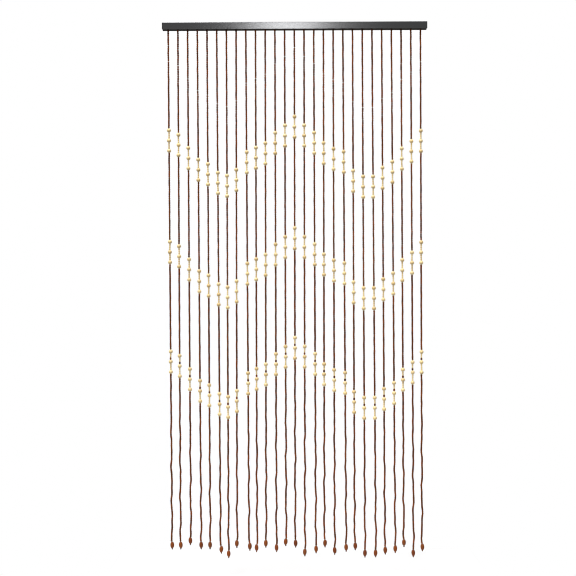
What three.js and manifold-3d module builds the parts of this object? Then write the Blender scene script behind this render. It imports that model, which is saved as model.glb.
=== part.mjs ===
// A doorway bead curtain. A satin metal rail of channel section covers a dark wooden batten, and
// twenty-seven strings of small wooden beads hang from the batten's underside. Every string carries
// three groups of three cream balls and ends in a rust-brown drop.
//
// Millimetres, +Z up. The origin is the middle of the rail's flat top face, X runs along the rail,
// the curtain's front faces -Y, and the strings hang towards -Z. "Down" is a distance below the
// rail's top face.

import * as THREE from 'three';
import { mergeVertices } from 'three/addons/utils/BufferGeometryUtils.js';
import Module from 'manifold-3d';

const wasm = await Module();
wasm.setup();

// The rail, a channel open along its underside and at both ends.
const rail = {
  length: 900,
  depth: 24,
  height: 24,
  wall: 1.5,
  edgeRadius: 2,
  edgeSteps: 3,
};

// The batten fills the channel and stops a little short of it at the ends and the underside.
const fitGap = 0.3;
const endInset = 1;
const undersideInset = 0.4;
const batten = {
  length: rail.length - 2 * endInset,
  depth: rail.depth - 2 * rail.wall - 2 * fitGap,
  top: rail.wall + fitGap,
  bottom: rail.height - undersideInset,
};

// The strings: an even pitch, drilled from a mark a little left of the rail's middle, and one row for
// each string from left to right. "ball" is down to the first cream ball, "drop" is down to the middle
// of the end drop, and "lean" is how far sideways its end hangs from its hole. The rows are read by
// eye, the two distances down to 5 mm and the lean to 2 mm.
const stringPitch = 33;
const holeShift = -1;
const strings = [
  { ball: 365, drop: 1775, lean: 6 },
  { ball: 380, drop: 1775, lean: 2 },
  { ball: 425, drop: 1760, lean: 4 },
  { ball: 465, drop: 1775, lean: 6 },
  { ball: 480, drop: 1775, lean: 4 },
  { ball: 510, drop: 1790, lean: 6 },
  { ball: 520, drop: 1805, lean: 0 },
  { ball: 500, drop: 1770, lean: -4 },
  { ball: 440, drop: 1780, lean: 4 },
  { ball: 425, drop: 1785, lean: -2 },
  { ball: 410, drop: 1770, lean: -4 },
  { ball: 375, drop: 1785, lean: -2 },
  { ball: 350, drop: 1765, lean: -2 },
  { ball: 320, drop: 1770, lean: -4 },
  { ball: 350, drop: 1800, lean: -4 },
  { ball: 375, drop: 1790, lean: 0 },
  { ball: 410, drop: 1770, lean: -4 },
  { ball: 430, drop: 1795, lean: -2 },
  { ball: 440, drop: 1785, lean: 4 },
  { ball: 505, drop: 1780, lean: 0 },
  { ball: 525, drop: 1805, lean: 2 },
  { ball: 525, drop: 1805, lean: 6 },
  { ball: 495, drop: 1795, lean: 4 },
  { ball: 475, drop: 1790, lean: 6 },
  { ball: 430, drop: 1770, lean: 2 },
  { ball: 405, drop: 1805, lean: 2 },
  { ball: 370, drop: 1785, lean: -2 },
];

// The pattern that every string repeats: where each group of balls starts below the first ball.
const groupStarts = [0, 379, 752];
const ballsInGroup = 3;
const ballPitch = 34.7;

// Bead sizes. A string of small beads is a bar of their own diameter.
const beadRadius = 3.2;
const ball = { shoulderRadius: 6.3, shoulderHeight: 2.9, neckHeight: 6.4 };
const drop = { radius: 6.6, halfHeight: 10.6, shoulderHeight: 5.5, shoulderRadius: 5.7 };
const knot = { radius: 2.8, tipRadius: 1.6, shoulder: 13, end: 14.8 };

// Below its last ball a string hangs in slight waves, which grow as they go down. Each string
// takes its own wave length and phase from its number.
const wave = {
  side: 1.3,
  depth: 0.8,
  shortest: 118,
  spread: 34,
  growth: 300,
  clearOfBeads: 14,
};
const phaseStep = 0.618;
const lengthStep = 0.382;
const depthPhase = 0.3;
const crestPhase = 0.25;

// Each string has a square section, between the square inside its round and the one around it.
const sectionFactor = 0.94;
const sectionCorners = [[-1, -1], [1, -1], [1, 1], [-1, 1]];
const rootInBatten = 3;

const fraction = (value) => value - Math.floor(value);

// The channel's section, drawn with the depth across and the height up, its top edges rounded.
function channelShape() {
  const half = rail.depth / 2;
  const inner = half - rail.wall;
  const radius = rail.edgeRadius;
  const shape = new THREE.Shape();
  shape.moveTo(-half, -rail.height);
  shape.lineTo(-inner, -rail.height);
  shape.lineTo(-inner, -rail.wall);
  shape.lineTo(inner, -rail.wall);
  shape.lineTo(inner, -rail.height);
  shape.lineTo(half, -rail.height);
  shape.lineTo(half, -radius);
  shape.absarc(half - radius, -radius, radius, 0, Math.PI / 2, false);
  shape.lineTo(-half + radius, 0);
  shape.absarc(-half + radius, -radius, radius, Math.PI / 2, Math.PI, false);
  shape.closePath();
  return shape;
}

// How far along its waves a string is, at a distance below its last ball.
function wavePhase(index, below) {
  const length = wave.shortest + wave.spread * fraction(index * lengthStep);
  return below / length + fraction(index * phaseStep);
}

// How far down a string's last ball is.
function lastBall(string) {
  return string.ball + groupStarts.at(-1) + (ballsInGroup - 1) * ballPitch;
}

// The middle of a string at a distance down: its hole, its lean and its waves.
function stringMiddle(string, index, down) {
  const evenPlace = (index - (strings.length - 1) / 2) * stringPitch;
  const hung = (down - rail.height) / (string.drop - rail.height);
  const below = Math.max(0, down - lastBall(string));
  const growth = Math.min(1, below / wave.growth);
  const turn = 2 * Math.PI * wavePhase(index, below);
  const x = evenPlace + holeShift + string.lean * Math.max(0, hung)
    + wave.side * growth * Math.sin(turn);
  const y = wave.depth * growth * Math.sin(turn + 2 * Math.PI * depthPhase);
  return [x, y];
}

// The distances down where a string's waves swing out furthest, between its last ball and its drop.
function waveCrests(string, index) {
  const start = lastBall(string) + wave.clearOfBeads;
  const end = string.drop - drop.halfHeight - wave.clearOfBeads;
  const length = wave.shortest + wave.spread * fraction(index * lengthStep);
  const firstCrest = (crestPhase - fraction(index * phaseStep)) * length;
  const crests = [];
  for (let down = lastBall(string) + firstCrest; down < end; down += length / 2) {
    if (down > start) {
      crests.push(down);
    }
  }
  return crests;
}

// A string's sections from top to bottom: how far down each is, and its radius.
function stringSections(string, index) {
  const sections = [{ down: batten.bottom - rootInBatten, radius: beadRadius }];
  for (const start of groupStarts) {
    for (let number = 0; number < ballsInGroup; number += 1) {
      const middle = string.ball + start + number * ballPitch;
      sections.push({ down: middle - ball.neckHeight, radius: beadRadius });
      sections.push({ down: middle - ball.shoulderHeight, radius: ball.shoulderRadius });
      sections.push({ down: middle + ball.shoulderHeight, radius: ball.shoulderRadius });
      sections.push({ down: middle + ball.neckHeight, radius: beadRadius });
    }
  }
  for (const down of waveCrests(string, index)) {
    sections.push({ down, radius: beadRadius });
  }
  sections.push({ down: string.drop - drop.halfHeight, radius: beadRadius });
  sections.push({ down: string.drop - drop.shoulderHeight, radius: drop.shoulderRadius });
  sections.push({ down: string.drop, radius: drop.radius });
  sections.push({ down: string.drop + drop.shoulderHeight, radius: drop.shoulderRadius });
  sections.push({ down: string.drop + drop.halfHeight, radius: knot.radius });
  sections.push({ down: string.drop + knot.shoulder, radius: knot.radius });
  sections.push({ down: string.drop + knot.end, radius: knot.tipRadius });
  return sections;
}

// A solid from flat lists of vertices and triangles.
function solid(vertices, triangles) {
  return new wasm.Manifold(new wasm.Mesh({
    numProp: 3,
    vertProperties: new Float32Array(vertices),
    triVerts: new Uint32Array(triangles),
  }));
}

// One string as a closed bar: a square of four corners at each section, joined by flat sides.
function stringSolid(string, index) {
  const sides = sectionCorners.length;
  const sections = stringSections(string, index);
  const vertices = [];
  for (const { down, radius } of sections) {
    const [x, y] = stringMiddle(string, index, down);
    for (const [cornerX, cornerY] of sectionCorners) {
      vertices.push(x + cornerX * radius * sectionFactor, y + cornerY * radius * sectionFactor, -down);
    }
  }
  const triangles = [];
  for (let ring = 0; ring < sections.length - 1; ring += 1) {
    for (let side = 0; side < sides; side += 1) {
      const upper = ring * sides + side;
      const upperNext = ring * sides + (side + 1) % sides;
      const lower = upper + sides;
      const lowerNext = upperNext + sides;
      triangles.push(upper, lower, lowerNext, upper, lowerNext, upperNext);
    }
  }
  const last = (sections.length - 1) * sides;
  for (let side = 1; side < sides - 1; side += 1) {
    triangles.push(0, side, side + 1);
    triangles.push(last, last + side + 1, last + side);
  }
  return solid(vertices, triangles);
}

// The batten as a solid, from a box geometry with its shared corners merged.
function battenSolid() {
  const height = batten.bottom - batten.top;
  const box = new THREE.BoxGeometry(batten.length, batten.depth, height);
  box.translate(0, 0, -(batten.top + batten.bottom) / 2);
  box.deleteAttribute('normal');
  box.deleteAttribute('uv');
  const merged = mergeVertices(box);
  return solid(merged.attributes.position.array, merged.index.array);
}

// A solid as a geometry that a mesh can show.
function geometryOf(joined) {
  const { vertProperties, triVerts, numProp } = joined.getMesh();
  const geometry = new THREE.BufferGeometry();
  const positions = new Float32Array((vertProperties.length / numProp) * 3);
  for (let vertex = 0; vertex < positions.length / 3; vertex += 1) {
    for (let axis = 0; axis < 3; axis += 1) {
      positions[vertex * 3 + axis] = vertProperties[vertex * numProp + axis];
    }
  }
  geometry.setAttribute('position', new THREE.BufferAttribute(positions, 3));
  geometry.setIndex(new THREE.BufferAttribute(new Uint32Array(triVerts), 1));
  geometry.computeVertexNormals();
  return geometry;
}

// The rail: the channel's section drawn out along X.
function railMesh() {
  const geometry = new THREE.ExtrudeGeometry(channelShape(), {
    depth: rail.length,
    steps: 1,
    bevelEnabled: false,
    curveSegments: rail.edgeSteps,
  });
  geometry.translate(0, 0, -rail.length / 2);
  const material = new THREE.MeshStandardMaterial({ color: 0x6e7072, roughness: 0.32, metalness: 0.9 });
  const mesh = new THREE.Mesh(geometry, material);
  mesh.rotation.set(Math.PI / 2, Math.PI / 2, 0);
  mesh.name = 'rail';
  return mesh;
}

// The batten and all the strings that hang from it, in one piece.
function stringsMesh() {
  const parts = [battenSolid(), ...strings.map(stringSolid)];
  const material = new THREE.MeshStandardMaterial({ color: 0x5a4238, roughness: 0.6, metalness: 0 });
  const mesh = new THREE.Mesh(geometryOf(wasm.Manifold.union(parts)), material);
  mesh.name = 'strings';
  return mesh;
}

const group = new THREE.Group();
group.add(railMesh(), stringsMesh());

export default group;
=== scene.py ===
# %% [markdown]
# # A doorway bead curtain, dressed bead by bead
#
# The real object is a slim metal rail with a wooden batten inside it. Twenty-seven strings of small
# brown wooden beads hang from the batten. Each string has three groups of three cream balls, placed a
# little higher or lower than its neighbour's, so that the groups draw a zigzag across the curtain.
#
# The solids that come with the model have each string as one square bar. Here every bead is made as a
# shape of its own. This first cell loads the solids as a fixed frame, so that each bead can be put
# where its bar hangs.

# %% Load the frame
import math
from collections import namedtuple

import bpy
import bmesh
from mathutils import Matrix, Vector


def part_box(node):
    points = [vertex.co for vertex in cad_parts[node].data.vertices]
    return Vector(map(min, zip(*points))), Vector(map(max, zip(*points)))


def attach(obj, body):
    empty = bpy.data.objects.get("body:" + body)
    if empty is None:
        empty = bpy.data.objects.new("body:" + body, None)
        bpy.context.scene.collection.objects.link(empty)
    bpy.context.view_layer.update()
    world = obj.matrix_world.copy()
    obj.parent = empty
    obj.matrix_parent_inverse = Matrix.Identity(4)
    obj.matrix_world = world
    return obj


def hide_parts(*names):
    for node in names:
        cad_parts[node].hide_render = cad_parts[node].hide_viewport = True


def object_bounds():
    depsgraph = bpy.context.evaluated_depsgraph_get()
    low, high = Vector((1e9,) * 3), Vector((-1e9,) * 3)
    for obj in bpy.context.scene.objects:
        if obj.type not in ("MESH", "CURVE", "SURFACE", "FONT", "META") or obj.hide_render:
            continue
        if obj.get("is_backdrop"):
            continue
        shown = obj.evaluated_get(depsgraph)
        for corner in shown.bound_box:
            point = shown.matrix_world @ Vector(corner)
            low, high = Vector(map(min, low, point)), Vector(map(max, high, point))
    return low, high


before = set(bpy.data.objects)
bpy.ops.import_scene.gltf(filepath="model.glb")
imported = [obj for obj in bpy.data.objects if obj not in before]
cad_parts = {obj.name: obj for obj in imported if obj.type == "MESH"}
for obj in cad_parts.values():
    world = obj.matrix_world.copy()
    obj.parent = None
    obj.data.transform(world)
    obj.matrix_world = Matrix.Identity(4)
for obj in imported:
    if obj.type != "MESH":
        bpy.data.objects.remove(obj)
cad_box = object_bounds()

MM = 0.001
BODY = "root"
print("nodes in the frame:", sorted(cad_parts))
print("curtain, width and drop in mm:", [round((cad_box[1] - cad_box[0])[axis] / MM) for axis in (0, 2)])

# %% [markdown]
# ## What is measured and what is known
#
# A piece can be placed by reading the frame or by writing its sizes down. The rail is simple, so its
# sizes are read from the frame, and the batten's follow from them. The strings have a pattern, and a
# pattern is clearer as sizes: one row for each string, with the same columns as in the solids' source.
#
# The holes are evenly spaced, from a mark a little left of the rail's middle. "ball" is down to a
# string's first cream ball, "drop" is down to the middle of the drop at its end, and "lean" is how far
# sideways the end hangs. All are in millimetres, and "down" is measured from the rail's top face. The
# rows are read to 5 mm for the two distances down and to 2 mm for the lean.

# %% The strings
rail_low, rail_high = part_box("rail")
rail_length, rail_depth, rail_height = rail_high - rail_low
strings_low, strings_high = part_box("strings")

String = namedtuple("String", "ball drop lean")
STRINGS = [
    String(365, 1775, 6),
    String(380, 1775, 2),
    String(425, 1760, 4),
    String(465, 1775, 6),
    String(480, 1775, 4),
    String(510, 1790, 6),
    String(520, 1805, 0),
    String(500, 1770, -4),
    String(440, 1780, 4),
    String(425, 1785, -2),
    String(410, 1770, -4),
    String(375, 1785, -2),
    String(350, 1765, -2),
    String(320, 1770, -4),
    String(350, 1800, -4),
    String(375, 1790, 0),
    String(410, 1770, -4),
    String(430, 1795, -2),
    String(440, 1785, 4),
    String(505, 1780, 0),
    String(525, 1805, 2),
    String(525, 1805, 6),
    String(495, 1795, 4),
    String(475, 1790, 6),
    String(430, 1770, 2),
    String(405, 1805, 2),
    String(370, 1785, -2),
]
STRING_PITCH = 33
HOLE_SHIFT = -1
GROUP_STARTS = (0, 379, 752)
BALLS_IN_GROUP = 3
BALL_PITCH = 34.7
RAIL_HEIGHT = rail_height / MM
UNDERSIDE_INSET = 0.4
BATTEN_BOTTOM = RAIL_HEIGHT - UNDERSIDE_INSET

solid_size = [round(side / MM) for side in strings_high - strings_low]
print(len(STRINGS), "strings over", round((len(STRINGS) - 1) * STRING_PITCH), "mm")
print("the solid strings and their batten fill", solid_size, "mm")

# %% [markdown]
# ## How a string hangs
#
# A loaded string hangs straight, and an unloaded one keeps the kinks that it was packed with. Above
# its last ball each string is nearly straight, with small kinks. Below it the kinks are larger, and the
# string also swings in slow waves that grow over the first stretch. A curve drawn by hand for each
# string would do, but one formula with its own wave length and phase for each string gives twenty-seven
# different strings from a few numbers. Lengths here are in millimetres.
#
# The function gives the middle of a string at any distance down, in metres. Everything that is
# threaded on a string asks this function for its place.

# %% The path of a string
WAVE_SIDE = 1.3
WAVE_DEPTH = 0.8
WAVE_SHORTEST = 118
WAVE_SPREAD = 34
WAVE_GROWTH = 300
PHASE_STEP = 0.618
LENGTH_STEP = 0.382
DEPTH_PHASE = 0.3
KINK_ABOVE = 0.25
KINK_BELOW = 0.7
KINK_LENGTHS = (37, 61)
SHORT_KINK = 0.6
KINK_TURN = 2.4


def last_ball(string):
    """How far down a string's last ball is."""
    return string.ball + GROUP_STARTS[-1] + (BALLS_IN_GROUP - 1) * BALL_PITCH


def kink(index, down):
    """How far the beads sit out of line, in mm: two short waves that don't repeat together."""
    short, long = KINK_LENGTHS
    short_wave = math.sin(2 * math.pi * down / short + index)
    long_wave = math.sin(2 * math.pi * down / long + KINK_TURN * index)
    return SHORT_KINK * short_wave + long_wave


def place_on(index, down):
    """The middle of a string at a distance down, in metres."""
    string = STRINGS[index]
    even_place = (index - (len(STRINGS) - 1) / 2) * STRING_PITCH
    hung = max(0, (down - RAIL_HEIGHT) / (string.drop - RAIL_HEIGHT))
    bent = min(down, string.drop)
    below = max(0, bent - last_ball(string))
    growth = min(1, below / WAVE_GROWTH)
    wave_length = WAVE_SHORTEST + WAVE_SPREAD * (index * LENGTH_STEP % 1)
    turn = 2 * math.pi * (below / wave_length + index * PHASE_STEP % 1)
    x = even_place + HOLE_SHIFT + string.lean * hung + WAVE_SIDE * growth * math.sin(turn)
    x += kink(index, bent) * (KINK_ABOVE + (KINK_BELOW - KINK_ABOVE) * growth)
    y = WAVE_DEPTH * growth * math.sin(turn + 2 * math.pi * DEPTH_PHASE)
    return Vector((x, y, -down)) * MM


print("string 0 ends at", [round(c / MM, 1) for c in place_on(0, STRINGS[0].drop)], "mm")

# %% [markdown]
# ## Node trees written as sums
#
# Materials and Geometry Nodes are both graphs of small steps. Placing nodes by hand in a script takes
# many lines and hides the idea, so one small class wraps an output and lets Python's own signs add the
# Math nodes: 1 - grain * 0.3 reads as what it does. Any other node comes from one method, which takes
# its type, its settings and its inputs, by name.


# %% Sums of outputs
class Value:
    """An output of a node that takes part in sums."""

    def __init__(self, graph, socket):
        self.graph = graph
        self.socket = socket

    def _math(self, operation, *terms):
        return self.graph.node("ShaderNodeMath", {"operation": operation}, list(terms))["Value"]

    def __add__(self, other):
        return self._math("ADD", self, other)

    def __radd__(self, other):
        return self._math("ADD", other, self)

    def __sub__(self, other):
        return self._math("SUBTRACT", self, other)

    def __rsub__(self, other):
        return self._math("SUBTRACT", other, self)

    def __mul__(self, other):
        return self._math("MULTIPLY", self, other)

    def __rmul__(self, other):
        return self._math("MULTIPLY", other, self)

    def __truediv__(self, other):
        return self._math("DIVIDE", self, other)

    def __pow__(self, other):
        return self._math("POWER", self, other)

    def rounded(self):
        return self._math("ROUND", self)


print("signs that add a Math node: + - * / **")


# %% Any other node by one method
class Made:
    """A node, whose outputs are read by name."""

    def __init__(self, graph, node):
        self.graph = graph
        self.node = node

    def __getitem__(self, name):
        found = [s for s in self.node.outputs if s.name == name and s.enabled]
        return Value(self.graph, found[0])


class Graph:
    """A node tree that is filled by calls."""

    def __init__(self, tree):
        self.tree = tree
        tree.nodes.clear()

    def node(self, kind, settings=None, inputs=None):
        """A node of a kind. Settings come first, then inputs as a list in order or a dict by name."""
        node = self.tree.nodes.new(kind)
        for name, value in (settings or {}).items():
            setattr(node, name, value)
        sockets = [s for s in node.inputs if s.enabled]
        if isinstance(inputs, dict):
            named = {}
            for socket in sockets:
                named.setdefault(socket.name, socket)
            pairs = [(named[name], value) for name, value in inputs.items()]
        else:
            pairs = zip(sockets, inputs or [])
        for socket, value in pairs:
            if isinstance(value, Value):
                self.tree.links.new(value.socket, socket)
            else:
                socket.default_value = value
        return Made(self, node)

    def mixed(self, factor, first, second):
        """A colour between two colours."""
        inputs = {"Factor": factor}
        for name, colour in (("A", first), ("B", second)):
            inputs[name] = colour if isinstance(colour, Value) else (*colour, 1)
        return self.node("ShaderNodeMix", {"data_type": "RGBA"}, inputs)["Result"]


print("graph helpers are ready")

# %% [markdown]
# ## The finishes
#
# Every finish here is a Principled shader whose pattern comes from numbers, with no pictures. On the
# turned beads the grain has to follow the bead and not the room, or two neighbours would share one
# grain. Object coordinates can't do that once the beads are joined, so each bead carries things of its
# own: "own_place", the place of a point on its bead, "to_end", how near that is to the bead's ends,
# "tone", a number for the whole bead, and "shade", how much darker its run of beads is stained.
#
# A material is made from a function that returns the shader's inputs by name. Each such function below
# is then only about its own surface, and leaves the shader and the output to one helper.

# %% A shader from a surface function
def finish(name, surface):
    """A material whose Principled inputs are what surface(graph) returns, by name."""
    material = bpy.data.materials.new(name)
    material.use_nodes = True
    graph = Graph(material.node_tree)
    shader = graph.node("ShaderNodeBsdfPrincipled", None, surface(graph))
    graph.node("ShaderNodeOutputMaterial", None, [shader["BSDF"]])
    return material


def bumped(graph, height, strength, depth):
    """A normal that rises and falls with height by a depth in metres."""
    inputs = {"Height": height, "Strength": strength, "Distance": depth}
    return graph.node("ShaderNodeBump", None, inputs)["Normal"]


def read(graph, name, output):
    """What a piece carries under a name."""
    return graph.node("ShaderNodeAttribute", {"attribute_name": name})[output]


def stretched_noise(graph, place, stretch, detail, roughness):
    """Noise at a place, with its own scale along each axis."""
    stretched = graph.node("ShaderNodeVectorMath", {"operation": "MULTIPLY"}, [place, stretch])
    inputs = {"Vector": stretched["Vector"], "Scale": 1, "Detail": detail, "Roughness": roughness}
    return graph.node("ShaderNodeTexNoise", None, inputs)["Fac"]


print("finishes made so far:", len(bpy.data.materials))

# %% [markdown]
# ### Turned wood
#
# The three woods differ in stain and varnish only. Each has a dark and a light stain that the grain
# mixes, and a third that some beads lean to. End grain drinks more stain than a turned side does, so a
# stained bead darkens towards its two ends. The cream and rust beads also have a thin coat of varnish,
# and the brown ones are only waxed.
#
# The grain is noise stretched along the bead's own axis. The bead's tone pushes it elsewhere, so that
# each bead shows another piece of it. A picture of wood would repeat itself on five thousand beads.

# %% Turned wood in three stains
Stain = namedtuple("Stain", "dark light odd odd_from ends rough shine coat")
TONE_SHIFT = 7.3
GRAIN_STRETCH = (1400, 1400, 170)
GRAIN_DETAIL = 3
GRAIN_ROUGHNESS = 0.6
GRAIN_SHARE = 0.35
TONE_SHARE = 0.75
ODD_SHARE = 0.8
END_POWER = 4
GRAIN_ROUGHENS = 0.12
GRAIN_STRENGTH = 0.35
GRAIN_DEPTH = 0.15 * MM
VARNISH_ROUGHNESS = 0.22


def grain_on_bead(graph, tone):
    """Noise that runs along the bead's own axis, another for each bead."""
    place = read(graph, "own_place", "Vector")
    shift = graph.node("ShaderNodeCombineXYZ", None, [tone * TONE_SHIFT, tone * TONE_SHIFT, tone])
    moved = graph.node("ShaderNodeVectorMath", {"operation": "ADD"}, [place, shift["Vector"]])["Vector"]
    return stretched_noise(graph, moved, GRAIN_STRETCH, GRAIN_DETAIL, GRAIN_ROUGHNESS)


def turned_wood(name, stain):
    """The material of a turned bead in one stain."""

    def surface(graph):
        tone = read(graph, "tone", "Fac")
        shade = read(graph, "shade", "Fac")
        to_end = read(graph, "to_end", "Fac")
        grain = grain_on_bead(graph, tone)
        wood = graph.mixed(grain * GRAIN_SHARE + tone * TONE_SHARE, stain.dark, stain.light)
        odd = graph.node("ShaderNodeMapRange", None, {"Value": tone, "From Min": stain.odd_from})
        wood = graph.mixed(odd["Result"] * ODD_SHARE, wood, stain.odd)
        wood = graph.mixed(to_end ** END_POWER * stain.ends, wood, stain.dark)
        wood = graph.mixed(shade, wood, stain.dark)
        return {
            "Base Color": wood,
            "Roughness": stain.rough + grain * GRAIN_ROUGHENS,
            "Specular IOR Level": stain.shine,
            "Coat Weight": stain.coat,
            "Coat Roughness": VARNISH_ROUGHNESS,
            "Normal": bumped(graph, grain, GRAIN_STRENGTH, GRAIN_DEPTH),
        }

    return finish(name, surface)


brown_wood = turned_wood("brown stained wood", Stain(
    dark=(0.056, 0.014, 0.002), light=(0.210, 0.049, 0.007), odd=(0.255, 0.055, 0.007),
    odd_from=0.65, ends=0.7, rough=0.45, shine=0.15, coat=0.0,
))
cream_wood = turned_wood("cream wood", Stain(
    dark=(0.72, 0.50, 0.21), light=(0.99, 0.81, 0.44), odd=(0.91, 0.67, 0.30),
    odd_from=0.7, ends=0.0, rough=0.38, shine=0.25, coat=0.25,
))
rust_wood = turned_wood("rust stained wood", Stain(
    dark=(0.120, 0.026, 0.007), light=(0.275, 0.068, 0.008), odd=(0.145, 0.042, 0.012),
    odd_from=0.7, ends=0.4, rough=0.42, shine=0.15, coat=0.1,
))
print("stains:", brown_wood.name, "/", cream_wood.name, "/", rust_wood.name)

# %% [markdown]
# ### The rail's metal
#
# The rail is a dark satin metal. It is dark where it mirrors the dim room, and bright in its middle
# where it mirrors a lamp. That comes from the light and the roughness, not from paint. Its brushing is
# noise stretched far along the rail, which changes the roughness and tilts the surface very slightly.
# Object coordinates suit it, because the whole rail is one bar.

# %% Dark satin metal
NOISE_ROUGHNESS = 0.55
BRUSH_STRETCH = (9, 2600, 2600)
BRUSH_DETAIL = 4
CLOUD_STRETCH = (6, 30, 30)
CLOUD_DETAIL = 2
METAL_DARK = (0.132, 0.133, 0.136)
METAL_LIGHT = (0.152, 0.153, 0.156)
METAL_ROUGHNESS = 0.16
BRUSH_ROUGHENS = 0.05
CLOUDS_ROUGHEN = 0.02
BRUSH_STRENGTH = 0.05
BRUSH_DEPTH = 0.05 * MM


def noise_on_bar(graph, stretch, detail):
    """Noise on Object coordinates, stretched along a whole bar."""
    place = graph.node("ShaderNodeTexCoord")["Object"]
    return stretched_noise(graph, place, stretch, detail, NOISE_ROUGHNESS)


def satin_surface(graph):
    brushing = noise_on_bar(graph, BRUSH_STRETCH, BRUSH_DETAIL)
    clouds = noise_on_bar(graph, CLOUD_STRETCH, CLOUD_DETAIL)
    return {
        "Base Color": graph.mixed(clouds, METAL_DARK, METAL_LIGHT),
        "Metallic": 1.0,
        "Roughness": METAL_ROUGHNESS + brushing * BRUSH_ROUGHENS + clouds * CLOUDS_ROUGHEN,
        "Normal": bumped(graph, brushing, BRUSH_STRENGTH, BRUSH_DEPTH),
    }


satin_metal = finish("dark satin metal", satin_surface)
print("the rail's finish:", satin_metal.name)

# %% [markdown]
# ### The batten's wood
#
# The batten is stained nearly black and shows only from below and at the rail's open ends. Its grain
# runs along it, so it comes from the same stretched noise as the brushing, but coarser, with more bump
# and hardly any shine.

# %% Black stained batten
BATTEN_STRETCH = (14, 900, 900)
BATTEN_DETAIL = 5
BATTEN_DARK = (0.030, 0.028, 0.027)
BATTEN_LIGHT = (0.080, 0.073, 0.068)
BATTEN_ROUGHNESS = 0.7
BATTEN_ROUGHENS = 0.2
BATTEN_SHINE = 0.15
BATTEN_STRENGTH = 0.4
BATTEN_DEPTH = 0.2 * MM


def batten_surface(graph):
    grain = noise_on_bar(graph, BATTEN_STRETCH, BATTEN_DETAIL)
    return {
        "Base Color": graph.mixed(grain, BATTEN_DARK, BATTEN_LIGHT),
        "Roughness": BATTEN_ROUGHNESS + grain * BATTEN_ROUGHENS,
        "Specular IOR Level": BATTEN_SHINE,
        "Normal": bumped(graph, grain, BATTEN_STRENGTH, BATTEN_DEPTH),
    }


batten_wood = finish("black stained batten", batten_surface)
print("the batten's finish:", batten_wood.name)

# %% [markdown]
# ### The thread's cotton
#
# The thread is pale twisted cotton, about a millimetre thick. Its plies show as slanted bands, so a
# wave texture in diagonal bands is enough. It mixes two shades and raises the plies a little.

# %% Pale cotton thread
TWIST_SCALE = 420
TWIST_DISTORTION = 1.5
TWIST_DETAIL = 1
COTTON_DARK = (0.50, 0.42, 0.32)
COTTON_LIGHT = (0.80, 0.74, 0.64)
COTTON_ROUGHNESS = 0.85
TWIST_STRENGTH = 0.5
TWIST_DEPTH = 0.1 * MM


def thread_surface(graph):
    place = graph.node("ShaderNodeTexCoord")["Object"]
    settings = {"wave_type": "BANDS", "bands_direction": "DIAGONAL"}
    inputs = {
        "Vector": place, "Scale": TWIST_SCALE, "Distortion": TWIST_DISTORTION, "Detail": TWIST_DETAIL,
    }
    twist = graph.node("ShaderNodeTexWave", settings, inputs)["Fac"]
    return {
        "Base Color": graph.mixed(twist, COTTON_DARK, COTTON_LIGHT),
        "Roughness": COTTON_ROUGHNESS,
        "Normal": bumped(graph, twist, TWIST_STRENGTH, TWIST_DEPTH),
    }


thread_cotton = finish("pale cotton thread", thread_surface)
print(len(bpy.data.materials), "finishes made")

# %% [markdown]
# ## One bead of each kind
#
# A bead is turned on a lathe, so its section is enough: pairs of a radius and a height, spun round Z.
# Blender's Screw modifier or the Spin tool would spin it too. A short loop is as easy to read, and it
# leaves a closed shape with few faces, which matters when the bead is repeated thousands of times.
# The beads are small barrels, and the balls and drops have more steps because they show larger.


# %% Turned shapes
def turned(name, section, sides):
    """A closed shape round Z from (radius, height) pairs in mm, lowest first.

    Its points carry own_place, their place, and to_end, from 0 in the middle to 1 at the two ends.
    """
    places = []
    for radius, height in section:
        for side in range(sides):
            turn = 2 * math.pi * side / sides
            places.append(Vector((radius * math.cos(turn), radius * math.sin(turn), height)) * MM)
    faces = []
    for ring in range(len(section) - 1):
        for side in range(sides):
            here = ring * sides + side
            beside = ring * sides + (side + 1) % sides
            faces.append((here, beside, beside + sides, here + sides))
    top = (len(section) - 1) * sides
    faces.append(tuple(reversed(range(sides))))
    faces.append(tuple(range(top, top + sides)))
    mesh = bpy.data.meshes.new(name)
    mesh.from_pydata(places, [], faces)
    mesh.shade_smooth()
    own = mesh.attributes.new("own_place", "FLOAT_VECTOR", "POINT")
    own.data.foreach_set("vector", [c for place in places for c in place])
    half_height = section[-1][1] * MM
    to_end = mesh.attributes.new("to_end", "FLOAT", "POINT")
    to_end.data.foreach_set("value", [abs(place.z) / half_height for place in places])
    return bpy.data.objects.new(name, mesh)


def mirrored(half):
    """A whole section from its upper half, which stays off the middle."""
    return [(radius, -height) for radius, height in reversed(half)] + half


def round_section(radius, half_height, hole, bands):
    """The section of a ball or an oval bead, open by a hole's radius at each end."""
    least = math.acos(hole / radius)
    angles = [least * (2 * band / bands - 1) for band in range(bands + 1)]
    return [(radius * math.cos(a), half_height * math.sin(a)) for a in angles]


BEAD_LENGTH = 7.5
BEAD_PITCH = 7.5
SLIM_LENGTH = 6.7
BALL_RADIUS = 6.9
BALL_HOLE = 1.0
DROP_RADIUS = 6.55
DROP_HALF_HEIGHT = 11.6
DROP_HOLE = 1.2
KNOT_RADIUS = 2.6

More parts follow.
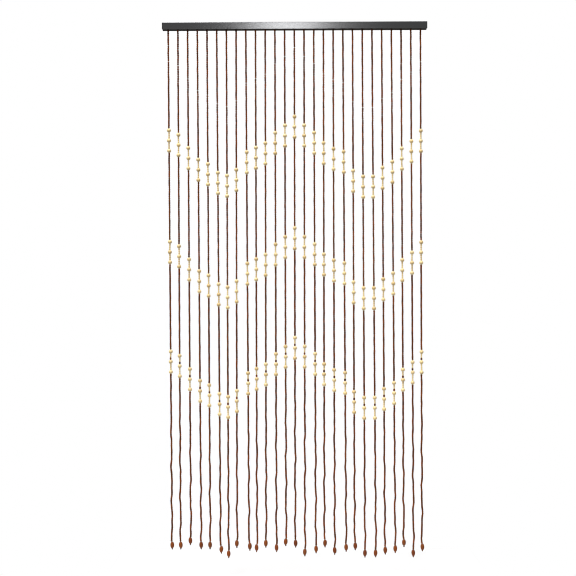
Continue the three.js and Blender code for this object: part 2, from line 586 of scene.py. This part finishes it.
bead_half = [(3.5, 1.6), (3.15, 3.0), (2.15, BEAD_LENGTH / 2)]
small_bead = turned("small_bead", mirrored(bead_half), sides=9)
slim_bead_half = [(3.05, 1.2), (2.65, 2.5), (1.7, SLIM_LENGTH / 2)]
slim_bead = turned("slim_bead", mirrored(slim_bead_half), sides=9)
ball = turned("ball", round_section(BALL_RADIUS, BALL_RADIUS, hole=BALL_HOLE, bands=9), sides=16)
drop_section = round_section(DROP_RADIUS, DROP_HALF_HEIGHT, hole=DROP_HOLE, bands=17)
drop = turned("drop", drop_section, sides=28)
knot_section = [(0.9, -2.1), (1.7, -1.7), (2.3, -0.8), (KNOT_RADIUS, 0.3), (2.4, 1.4), (1.6, 2.0)]
knot_bead = turned("knot_bead", knot_section, sides=12)
print("faces of a small bead and a ball:", len(small_bead.data.polygons), len(ball.data.polygons))

# %% [markdown]
# ## Threading by Geometry Nodes
#
# Placing five thousand beads by a Python loop works, but Geometry Nodes do it faster and keep the rule
# in one place. The tree takes runs, which are bare lines that follow the strings. It shares each run
# out in whole beads, turns each bead along the line, and adds the small differences in size, tilt and
# tone that turned beads have. One tree threads every kind of bead, because its sizes are named inputs.
#
# The beads are made real at the end, since a bead that is only an instance would be lost on export.


# %% Share the runs out in beads
def new_tree(name, sockets):
    """A Geometry Nodes tree with named inputs, its graph and its group input and output."""
    tree = bpy.data.node_groups.new(name, "GeometryNodeTree")
    tree.interface.new_socket("Geometry", in_out="OUTPUT", socket_type="NodeSocketGeometry")
    tree.interface.new_socket("Geometry", in_out="INPUT", socket_type="NodeSocketGeometry")
    for socket, kind in sockets:
        tree.interface.new_socket(socket, in_out="INPUT", socket_type="NodeSocket" + kind)
    graph = Graph(tree)
    return tree, graph, graph.node("NodeGroupInput")


def random_vector(graph, low, high, seed):
    inputs = {"Min": low, "Max": high, "Seed": seed}
    return graph.node("FunctionNodeRandomValue", {"data_type": "FLOAT_VECTOR"}, inputs)["Value"]


def shared_out(graph, given):
    """Points along the runs, one for each bead, with a tone for each, and the way the line runs there."""
    runs = graph.node("GeometryNodeMeshToCurve", None, {"Mesh": given["Geometry"]})["Curve"]
    length = graph.node("GeometryNodeSplineLength")["Length"]
    count = (length / given["Pitch"]).rounded() + 1
    shared = graph.node(
        "GeometryNodeResampleCurve", {"mode": "COUNT"}, {"Curve": runs, "Count": count}
    )["Curve"]
    on_runs = graph.node("GeometryNodeCurveToPoints", {"mode": "EVALUATED"}, {"Curve": shared})
    tone = graph.node(
        "FunctionNodeRandomValue", {"data_type": "FLOAT"}, {"Min": 0.0, "Max": 1.0, "Seed": given["Seed"]}
    )
    toned = graph.node(
        "GeometryNodeStoreNamedAttribute",
        {"data_type": "FLOAT", "domain": "POINT"},
        {"Geometry": on_runs["Points"], "Name": "tone", "Value": tone["Value"]},
    )
    return toned["Geometry"], on_runs["Rotation"]


print("trees made so far:", len(bpy.data.node_groups))

# %% [markdown]
# ### Small differences
#
# Turned beads are never quite alike, and a threaded bead never sits quite straight. Each bead gets a
# small tilt, any turn about the thread and a size a little under the full one, at random from a fixed
# seed. Its length varies less than its girth, so that neighbours stay close together.

# %% Tilt and size at random
LESS_ALONG = 3


def tilted(graph, given, along):
    """The way the line runs, with a small random tilt and any turn about it."""
    tilt = given["Tilt Spread"]
    least = graph.node("ShaderNodeCombineXYZ", None, [0 - tilt, 0 - tilt, 0.0])["Vector"]
    most = graph.node("ShaderNodeCombineXYZ", None, [tilt, tilt, 2 * math.pi])["Vector"]
    turned_by = random_vector(graph, least, most, given["Seed"] + 1)
    wobble = graph.node("FunctionNodeEulerToRotation", None, {"Euler": turned_by})["Rotation"]
    inputs = {"Rotation": along, "Rotate By": wobble}
    return graph.node("FunctionNodeRotateRotation", {"rotation_space": "LOCAL"}, inputs)["Rotation"]


def sized(graph, given):
    """A random size, which varies less along a bead than across it, times the girth of its run."""
    spread = given["Size Spread"]
    across = 1 - spread
    along = 1 - spread / LESS_ALONG
    smallest = graph.node("ShaderNodeCombineXYZ", None, [across, across, along])["Vector"]
    random_size = random_vector(graph, smallest, (1.0, 1.0, 1.0), given["Seed"] + 2)
    girth = graph.node("GeometryNodeInputNamedAttribute", {"data_type": "FLOAT"}, {"Name": "girth"})
    across_by = girth["Attribute"]
    girths = graph.node("ShaderNodeCombineXYZ", None, [across_by, across_by, 1.0])["Vector"]
    return graph.node("ShaderNodeVectorMath", {"operation": "MULTIPLY"}, [random_size, girths])["Vector"]


print("a bead's length varies", LESS_ALONG, "times less than its girth")

# %% [markdown]
# ### The whole tree
#
# The tree puts one bead on each point, makes the beads real and gives them their finish. Which bead,
# how closely and how much they differ are its inputs, so that one tree serves every kind.


# %% The threading tree
def threading_tree():
    """The tree that threads one kind of bead on every run."""
    sockets = [
        ("Bead", "Object"), ("Pitch", "Float"), ("Size Spread", "Float"), ("Tilt Spread", "Float"),
        ("Seed", "Int"), ("Finish", "Material"),
    ]
    tree, graph, given = new_tree("thread beads on runs", sockets)
    points, along = shared_out(graph, given)
    facing = tilted(graph, given, along)
    size = sized(graph, given)
    bead = graph.node("GeometryNodeObjectInfo", None, {"Object": given["Bead"]})["Geometry"]
    threaded = graph.node(
        "GeometryNodeInstanceOnPoints",
        None,
        {"Points": points, "Instance": bead, "Rotation": facing, "Scale": size},
    )["Instances"]
    real = graph.node("GeometryNodeRealizeInstances", None, {"Geometry": threaded})["Geometry"]
    shown = graph.node("GeometryNodeSetMaterial", None, {"Geometry": real, "Material": given["Finish"]})
    graph.node("NodeGroupOutput", None, [shown["Geometry"]])
    return tree


THREADING = threading_tree()
print("threading tree:", len(THREADING.nodes), "nodes")

# %% [markdown]
# ## From a tree to a plain mesh
#
# A modifier's inputs are set by the identifier of each socket, since two inputs may share a name. They
# are set before the object is first evaluated. The result is then copied out as a plain mesh, and the
# line object with its modifier is thrown away, so that nothing is left to be worked out again later.


# %% Running a tree
LOW_CORNER = 0
HIGH_CORNER = 6


def plain_piece(name, source):
    """The evaluated shape of an object as a new object with a plain mesh. The source is removed."""
    depsgraph = bpy.context.evaluated_depsgraph_get()
    mesh = bpy.data.meshes.new_from_object(source.evaluated_get(depsgraph))
    mesh.name = name
    source.modifiers.clear()
    bpy.data.objects.remove(source)
    piece = bpy.data.objects.new(name, mesh)
    bpy.context.scene.collection.objects.link(piece)
    return piece


def run_tree(name, mesh, tree, values):
    """The plain piece that a tree makes of a mesh, with its inputs by name."""
    source = bpy.data.objects.new(name + "_runs", mesh)
    bpy.context.scene.collection.objects.link(source)
    modifier = source.modifiers.new("tree", "NODES")
    modifier.node_group = tree
    for socket in tree.interface.items_tree:
        if socket.in_out == "INPUT" and socket.name in values:
            modifier[socket.identifier] = values[socket.name]
    return plain_piece(name, source)


def report_piece(piece):
    """Prints how many triangles a piece has and how large it is."""
    piece.data.calc_loop_triangles()
    low, high = Vector(piece.bound_box[LOW_CORNER]), Vector(piece.bound_box[HIGH_CORNER])
    size = [round(side / MM) for side in high - low]
    print(piece.name, len(piece.data.loop_triangles), "triangles,", size, "mm")


def ride_strings(piece):
    """A piece of the strings moves with the curtain's one body and stands for the plain bars."""
    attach(piece, BODY)
    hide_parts("strings")
    report_piece(piece)


tree_inputs = [socket.name for socket in THREADING.interface.items_tree if socket.in_out == "INPUT"]
print("the threading tree takes", tree_inputs)

# %% [markdown]
# ## Runs: where beads of one kind follow each other
#
# A run is a stretch of one string with beads of one kind, from the middle of its first bead to the
# middle of its last. As a mesh it is a bare line that follows the string in short steps, and it carries
# the shade and the girth of its beads.

# %% Runs along the strings
Run = namedtuple("Run", "index start end shade girth", defaults=(0.0, 1.0))
PATH_STEP = 12
SINGLE_LENGTH = 0.5


def run_mesh(name, runs):
    """Bare lines along the runs, with each run's shade and girth on its points."""
    places, edges, shades, girths = [], [], [], []
    for run in runs:
        steps = max(1, round((run.end - run.start) / PATH_STEP))
        for step in range(steps + 1):
            if step:
                edges.append((len(places) - 1, len(places)))
            places.append(place_on(run.index, run.start + (run.end - run.start) * step / steps))
            shades.append(run.shade)
            girths.append(run.girth)
    mesh = bpy.data.meshes.new(name)
    mesh.from_pydata(places, edges, [])
    mesh.attributes.new("shade", "FLOAT", "POINT").data.foreach_set("value", shades)
    mesh.attributes.new("girth", "FLOAT", "POINT").data.foreach_set("value", girths)
    return mesh


def single(index, down, shade=0.0):
    """A run that is too short for a second bead."""
    return Run(index, down, down + SINGLE_LENGTH, shade)


print("a run's line has a point about every", PATH_STEP, "mm")

# %% [markdown]
# ### The brown runs
#
# The brown runs lie between the ball groups. Above the first ball the beads of every string have slid
# apart in three places and show a little thread, most in the middle one, so the first brown run is cut
# there. Each slack place is given from the first ball, with how far it opens, and one that would come
# too close to the rail is left out. The beads above the second group are a little slimmer than those
# below it. One more brown bead sits in the third group, between the first two balls, which the
# photograph shows on every string.

# %% Where the brown beads go
SLACK_PLACES = ((-289, 0.7), (-235, 1.7), (-178, 0.5))
ROOT_GAP = 0.4
BROWN_GAP = (2, 0)
UPPER_GIRTH = 0.95


def ball_places(string):
    """How far down each ball of each group is."""
    starts = [string.ball + start for start in GROUP_STARTS]
    return [[start + number * BALL_PITCH for number in range(BALLS_IN_GROUP)] for start in starts]


def brown_stretches(string):
    """(top, bottom) of each stretch of brown beads on a string."""
    groups = ball_places(string)
    tops = [BATTEN_BOTTOM + ROOT_GAP] + [group[-1] + BALL_RADIUS for group in groups]
    bottoms = [group[0] - BALL_RADIUS for group in groups] + [string.drop - DROP_HALF_HEIGHT]
    places = [(string.ball + place, gap) for place, gap in SLACK_PLACES]
    cuts = [(down, gap) for down, gap in places if down > tops[0] + BEAD_PITCH]
    first_tops = [tops[0]] + [down + gap / 2 for down, gap in cuts]
    first_bottoms = [down - gap / 2 for down, gap in cuts] + [bottoms[0]]
    return list(zip(first_tops + tops[1:], first_bottoms + bottoms[1:]))


def brown_runs(index):
    """Every run of brown beads on a string, and the one brown bead in its third ball group."""
    half = BEAD_PITCH / 2
    slimmer_above = STRINGS[index].ball + GROUP_STARTS[1]
    runs = []
    for top, bottom in brown_stretches(STRINGS[index]):
        girth = UPPER_GIRTH if top < slimmer_above else 1.0
        runs.append(Run(index, top + half, bottom - half, girth=girth))
    group, gap = BROWN_GAP
    lowest = ball_places(STRINGS[index])[group][gap + 1] - BALL_RADIUS - BEAD_LENGTH / 2
    return runs + [single(index, lowest)]


print("brown stretches of string 0:", [(round(a), round(b)) for a, b in brown_stretches(STRINGS[0])])

# %% [markdown]
# ### The cream runs
#
# The cream runs are the short stretches of three beads between balls. In the second group the lower
# three are a shade darker. In the third group the lowest of the first three gives way to a brown bead.

# %% Where the cream beads go
BEADS_BETWEEN = 3
TAN_GAP = (1, 1)
TAN_SHADE = 0.45


def cream_runs(index):
    """The short runs of slim beads between a string's balls."""
    runs = []
    first = BALL_RADIUS + SLIM_LENGTH / 2
    bead_step = (BALL_PITCH - 2 * first) / (BEADS_BETWEEN - 1)
    for group, balls in enumerate(ball_places(STRINGS[index])):
        for gap, down in enumerate(balls[:-1]):
            beads = BEADS_BETWEEN - (1 if (group, gap) == BROWN_GAP else 0)
            shade = TAN_SHADE if (group, gap) == TAN_GAP else 0.0
            step = bead_step if beads == BEADS_BETWEEN else SLIM_LENGTH
            runs.append(Run(index, down + first, down + first + (beads - 1) * step, shade))
    return runs


print("cream runs on a string:", len(cream_runs(0)))

# %% [markdown]
# ## The brown strings
#
# Five thousand barrels make most of the curtain. They are kept in three pieces, the left, middle and
# right third of the curtain, so that no piece is too heavy to export. The three differ in their
# strings and their seed only.
#
# Each kind of bead is one row of values: what is threaded, how closely, how much its size and tilt
# differ, and its finish. One function then threads any kind on any runs.

# %% Thread the brown beads
Kind = namedtuple("Kind", "bead pitch size_spread tilt_spread finish slot")
THIRD = len(STRINGS) // 3
THIRDS = {
    "left": range(THIRD),
    "middle": range(THIRD, 2 * THIRD),
    "right": range(2 * THIRD, len(STRINGS)),
}
FIRST_SEED = 11
SEED_STEP = 10
BROWN_SPREAD = 0.13
TILT_SPREAD = math.radians(4)


def thread_beads(name, kind, runs, seed):
    """One piece of the beads of one kind, threaded on runs."""
    values = {
        "Bead": kind.bead, "Pitch": kind.pitch * MM, "Size Spread": kind.size_spread,
        "Tilt Spread": kind.tilt_spread, "Seed": seed, "Finish": kind.finish,
    }
    beads = run_tree(name, run_mesh(name + " lines", runs), THREADING, values)
    ride_strings(beads)


brown_kind = Kind(small_bead, BEAD_PITCH, BROWN_SPREAD, TILT_SPREAD, brown_wood, "brown_wood")
for number, (third, indices) in enumerate(THIRDS.items()):
    third_runs = [run for index in indices for run in brown_runs(index)]
    thread_beads("brown_beads_" + third, brown_kind, third_runs, FIRST_SEED + number * SEED_STEP)

# %% [markdown]
# ## Cream balls and the beads between them
#
# The balls are the eye-catchers, so they have sixteen sides and a round section. The same tree threads
# them: a run of three balls is one ball pitch long for each step. The slim cream beads between them
# are a little thinner than the brown ones.

# %% Thread the cream beads
BALL_SPREAD = 0.03
BALL_TILT_SPREAD = math.radians(3)
BALL_SEED = 53
SLIM_SPREAD = 0.06
SLIM_SEED = 67

ball_runs = [
    Run(index, balls[0], balls[-1])
    for index, string in enumerate(STRINGS)
    for balls in ball_places(string)
]
ball_kind = Kind(ball, BALL_PITCH, BALL_SPREAD, BALL_TILT_SPREAD, cream_wood, "cream_wood")
thread_beads("cream_balls", ball_kind, ball_runs, BALL_SEED)

slim_runs = [run for index in range(len(STRINGS)) for run in cream_runs(index)]
slim_kind = Kind(slim_bead, SLIM_LENGTH, SLIM_SPREAD, TILT_SPREAD, cream_wood, "cream_wood")
thread_beads("slim_cream_beads", slim_kind, slim_runs, SLIM_SEED)

# %% [markdown]
# ## The ends
#
# Each string ends in an oval rust-brown bead and a small dark one under it that holds the knot. Both
# are single beads, so their runs are shorter than one pitch and the tree gives them one bead each.

# %% Thread the drops and the end beads
KNOT_DOWN = 13.4
KNOT_SHADE = 0.7
DROP_SPREAD = 0.04
DROP_SEED = 71
KNOT_SEED = 83

every_end = [(index, string.drop) for index, string in enumerate(STRINGS)]
drop_runs = [single(index, down) for index, down in every_end]
drop_kind = Kind(drop, BALL_PITCH, DROP_SPREAD, TILT_SPREAD, rust_wood, "rust_wood")
thread_beads("end_drops", drop_kind, drop_runs, DROP_SEED)

knot_runs = [single(index, down + KNOT_DOWN, KNOT_SHADE) for index, down in every_end]
knot_kind = drop_kind._replace(bead=knot_bead, finish=brown_wood, slot="brown_wood")
thread_beads("end_beads", knot_kind, knot_runs, KNOT_SEED)

# %% [markdown]
# ## The thread
#
# One thread runs through each string, from inside the batten's hole to the last bead, and shows only
# where beads have slid apart. A second, shorter tree gives each line a round section.

# %% Run the threads
THREAD_RADIUS = 0.55
THREAD_SIDES = 6
INTO_BATTEN = 3


def thread_tree():
    tree, graph, given = new_tree("thread along runs", [("Radius", "Float"), ("Finish", "Material")])
    line = graph.node("GeometryNodeMeshToCurve", None, {"Mesh": given["Geometry"]})["Curve"]
    circle = {"Resolution": THREAD_SIDES, "Radius": given["Radius"]}
    section = graph.node("GeometryNodeCurvePrimitiveCircle", {"mode": "RADIUS"}, circle)["Curve"]
    tube = graph.node(
        "GeometryNodeCurveToMesh", None, {"Curve": line, "Profile Curve": section, "Fill Caps": True}
    )["Mesh"]
    real = graph.node("GeometryNodeRealizeInstances", None, {"Geometry": tube})["Geometry"]
    shown = graph.node("GeometryNodeSetMaterial", None, {"Geometry": real, "Material": given["Finish"]})
    graph.node("NodeGroupOutput", None, [shown["Geometry"]])
    return tree


thread_runs = [
    Run(index, BATTEN_BOTTOM - INTO_BATTEN, string.drop + KNOT_DOWN)
    for index, string in enumerate(STRINGS)
]
thread_values = {"Radius": THREAD_RADIUS * MM, "Finish": thread_cotton}
ride_strings(run_tree("threads", run_mesh("lines", thread_runs), thread_tree(), thread_values))

# %% [markdown]
# ## Bars with softened edges
#
# The rail and the batten are both long bars with one section, so each section is drawn once and drawn
# out along X. A bevel then breaks the sharp edges by about a third of a millimetre, because no real
# edge is perfectly sharp, and the thin bright line on it tells the eye what the bar is made of.


# %% Draw out a section along X
BEVEL_SEGMENTS = 2
BEVEL_FROM = math.radians(40)
CREASE_FROM = math.radians(35)


def drawn_out(name, section, length):
    """A closed bar whose section is (y, z) pairs in metres, centred on X."""
    bm = bmesh.new()
    face = bm.faces.new([bm.verts.new((-length / 2, y, z)) for y, z in section])
    grown = bmesh.ops.extrude_face_region(bm, geom=[face])["geom"]
    moved = [item for item in grown if isinstance(item, bmesh.types.BMVert)]
    bmesh.ops.translate(bm, verts=moved, vec=(length, 0, 0))
    bmesh.ops.recalc_face_normals(bm, faces=bm.faces)
    mesh = bpy.data.meshes.new(name)
    bm.to_mesh(mesh)
    bm.free()
    bar = bpy.data.objects.new(name, mesh)
    bpy.context.scene.collection.objects.link(bar)
    return bar


def softened(bar, width):
    """Adds a bevel to a bar's sharp edges."""
    bevel = bar.modifiers.new("edges", "BEVEL")
    bevel.width = width
    bevel.segments = BEVEL_SEGMENTS
    bevel.limit_method = "ANGLE"
    bevel.angle_limit = BEVEL_FROM


def crisp(piece, material):
    """The piece with smooth bends, crisp corners and flat faces that shade as flat."""
    name = piece.name
    piece.data.shade_smooth()
    piece.data.set_sharp_from_angle(angle=CREASE_FROM)
    flat = piece.modifiers.new("flat faces stay flat", "WEIGHTED_NORMAL")
    flat.keep_sharp = True
    piece = plain_piece(name, piece)
    piece.data.materials.clear()
    piece.data.materials.append(material)
    return piece


print("edges that turn by more than", round(math.degrees(BEVEL_FROM)), "degrees are softened")

# %% [markdown]
# ## The rail
#
# The rail is a channel of thin metal, open along its underside, with round outer edges. Its outer sizes
# come from the frame, and only its wall and the radius of its edges are given here. A box with one side
# taken off and a Solidify modifier would make a channel too, but its inner edges would be round as well.

# %% The rail
WALL = 1.5 * MM
EDGE_RADIUS = 2.0 * MM
EDGE_STEPS = 8
RAIL_BEVEL = 0.35 * MM


def rail_section():
    """The channel as (y, z) pairs: round the inside first, then over the outer edges."""
    half = rail_depth / 2
    bottom = -rail_height
    section = [(-half, bottom), (-half + WALL, bottom), (-half + WALL, -WALL), (half - WALL, -WALL)]
    section += [(half - WALL, bottom), (half, bottom)]
    for side in (1, -1):
        for step in range(EDGE_STEPS + 1):
            turn = math.pi / 2 * (step if side > 0 else EDGE_STEPS - step) / EDGE_STEPS
            y = side * (half - EDGE_RADIUS + EDGE_RADIUS * math.cos(turn))
            section.append((y, -EDGE_RADIUS + EDGE_RADIUS * math.sin(turn)))
    return section


rail_bar = drawn_out("rail_bar", rail_section(), rail_length)
softened(rail_bar, RAIL_BEVEL)
rail = crisp(plain_piece("rail_channel", rail_bar), satin_metal)
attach(rail, BODY)
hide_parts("rail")
report_piece(rail)

# %% [markdown]
# ## The batten
#
# The batten fills the channel. A Boolean drills one hole for each string, wider than the thread, so
# that from below the strings come out of the wood and don't just touch it. The pegs that it cuts with
# are one object, so that one modifier drills every hole.

# %% The batten with its holes
BATTEN_BEVEL = 0.4 * MM
FIT_GAP = 0.3 * MM
END_INSET = 1 * MM
HOLE_RADIUS = 1.6 * MM
HOLE_DEPTH = 6 * MM
HOLE_SIDES = 16


def hole_pegs():
    """Twenty-seven short pegs in one object, where the holes go."""
    bm = bmesh.new()
    for index in range(len(STRINGS)):
        place = Matrix.Translation(place_on(index, BATTEN_BOTTOM))
        bmesh.ops.create_cone(
            bm, cap_ends=True, segments=HOLE_SIDES, radius1=HOLE_RADIUS, radius2=HOLE_RADIUS,
            depth=2 * HOLE_DEPTH, matrix=place,
        )
    mesh = bpy.data.meshes.new("pegs")
    bm.to_mesh(mesh)
    bm.free()
    return bpy.data.objects.new("pegs", mesh)


def batten_section():
    """The batten as (y, z) pairs, with a small gap to the channel round it."""
    half = rail_depth / 2 - WALL - FIT_GAP
    top = -WALL - FIT_GAP
    bottom = -BATTEN_BOTTOM * MM
    return [(-half, bottom), (half, bottom), (half, top), (-half, top)]


pegs = hole_pegs()
batten_bar = drawn_out("batten_bar", batten_section(), rail_length - 2 * END_INSET)
softened(batten_bar, BATTEN_BEVEL)
drill = batten_bar.modifiers.new("holes", "BOOLEAN")
drill.operation = "DIFFERENCE"
drill.solver = "EXACT"
drill.object = pegs
batten = crisp(plain_piece("batten", batten_bar), batten_wood)
bpy.data.objects.remove(pegs)
ride_strings(batten)

# %% [markdown]
# ## The floor and the world
#
# The curtain is shown against plain white, over a pale floor. The world is white where the camera sees
# it and dimmer where it lights the beads, or the curtain would have no shadow side at all. A Light Path
# node tells the two apart, and the Standard view keeps the white as it is.

# %% The floor and the world
FLOOR_DOWN = 1.89
FLOOR_WIDTH = 1.3
FLOOR_DEPTH = 0.7
FLOOR_COLOUR = (0.86, 0.86, 0.86, 1)
FLOOR_ROUGHNESS = 0.9
FLOOR_SHINE = 0.1
SEEN_WHITE = 1.0
AMBIENT = 0.30


def floor_surface(graph):
    return {
        "Base Color": FLOOR_COLOUR, "Roughness": FLOOR_ROUGHNESS, "Specular IOR Level": FLOOR_SHINE,
    }


def make_floor():
    corners = [(-0.5, -0.5), (0.5, -0.5), (0.5, 0.5), (-0.5, 0.5)]
    mesh = bpy.data.meshes.new("floor")
    places = [(x * FLOOR_WIDTH, y * FLOOR_DEPTH, -FLOOR_DOWN) for x, y in corners]
    mesh.from_pydata(places, [], [(0, 1, 2, 3)])
    mesh.materials.append(finish("pale floor", floor_surface))
    floor = bpy.data.objects.new("floor", mesh)
    bpy.context.scene.collection.objects.link(floor)
    floor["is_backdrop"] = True


def make_world():
    world = bpy.data.worlds.new("white studio")
    world.use_nodes = True
    graph = Graph(world.node_tree)
    seen = graph.node("ShaderNodeLightPath")["Is Camera Ray"]
    strength = seen * (SEEN_WHITE - AMBIENT) + AMBIENT
    inputs = {"Color": (1, 1, 1, 1), "Strength": strength}
    background = graph.node("ShaderNodeBackground", None, inputs)["Background"]
    graph.node("ShaderNodeOutputWorld", None, [background])
    bpy.context.scene.world = world


make_floor()
make_world()
bpy.context.scene.view_settings.view_transform = "Standard"
print("floor at", FLOOR_DOWN, "m down")

# %% [markdown]
# ## The lamps
#
# The main light is a sun with a wide, soft edge. It comes from above, in front and a little to the
# left, and gives each bead its light top and a soft shadow below. A broad lamp straight overhead lights
# the floor, and a smaller one above and in front lights the upper strings.
#
# One more lamp is there for the rail alone. A satin metal shows a blurred picture of what it faces, so
# this lamp is put where the camera would see its mirror image in the middle of the rail: as far in
# front as the camera, and as far above the rail as the camera is below it.

# %% The lamps
Lamp = namedtuple("Lamp", "name place aim width height power")
LAMPS = [
    Lamp("rail light", (-0.026, -3.2, 0.88), (-0.026, 0, -0.01), 0.37, 0.26, 4.3),
    Lamp("floor light", (0, 0.2, 1.9), (0, 0.2, -2), 2.0, 1.6, 35),
    Lamp("top light", (0, -0.9, 1.3), (0, 0, -0.5), 0.8, 0.5, 7),
]
KEY_FROM = (-0.3, -0.45, 0.84)
KEY_STRENGTH = 3.2
KEY_SPREAD = math.radians(30)


def fix_light(name, light, place, aim):
    """A light in the scene that points from a place to an aim and isn't seen itself."""
    fixture = bpy.data.objects.new(name, light)
    fixture.location = place
    towards = Vector(aim) - Vector(place)
    fixture.rotation_euler = towards.to_track_quat("-Z", "Y").to_euler()
    fixture.visible_camera = False
    bpy.context.scene.collection.objects.link(fixture)


for lamp in LAMPS:
    panel = bpy.data.lights.new(lamp.name, "AREA")
    panel.shape = "RECTANGLE"
    panel.size = lamp.width
    panel.size_y = lamp.height
    panel.energy = lamp.power
    fix_light(lamp.name, panel, lamp.place, lamp.aim)

key = bpy.data.lights.new("soft key", "SUN")
key.energy = KEY_STRENGTH
key.angle = KEY_SPREAD
fix_light("soft key", key, KEY_FROM, (0, 0, 0))
print(len(LAMPS) + 1, "lamps")

# %% [markdown]
# ## The camera
#
# The camera stands in front, halfway down the curtain, and looks straight at it. It is rolled by a
# quarter of a degree to match the photograph. A small bead is only about two pixels wide from there, so
# the pixel filter is set narrower than usual, which keeps the beads of a string apart.

# %% The camera
CAMERA_AT = (-0.0262, -3.2, -0.9027)
CAMERA_LENS = 58.8
CAMERA_ROLL = math.radians(0.25)
PIXEL_FILTER = 1.0

camera = bpy.data.cameras.new("camera")
camera.lens = CAMERA_LENS
camera_object = bpy.data.objects.new("camera", camera)
camera_object.location = CAMERA_AT
camera_object.rotation_euler = (math.pi / 2, CAMERA_ROLL, 0)
bpy.context.scene.collection.objects.link(camera_object)
bpy.context.scene.camera = camera_object
bpy.context.scene.cycles.filter_width = PIXEL_FILTER
frame_width = camera.sensor_width / camera.lens * -CAMERA_AT[1]
print("the camera sees a frame", round(frame_width, 2), "m wide")

# %% [markdown]
# ## Tidying up and measuring
#
# The templates and the node trees have done their work, so they are removed. Then the size of the
# dressed curtain is printed next to the size of the solids, so that the two can be compared.

# %% Tidy up, measure and finish
for template in (small_bead, slim_bead, ball, drop, knot_bead):
    bpy.data.objects.remove(template)
for tree in list(bpy.data.node_groups):
    bpy.data.node_groups.remove(tree)

dressed_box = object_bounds()
sizes = {"cad": [list(corner) for corner in cad_box], "visual": [list(corner) for corner in dressed_box]}
for name, (low, high) in sizes.items():
    print(name, [round((b - a) / MM, 1) for a, b in zip(low, high)], "mm")
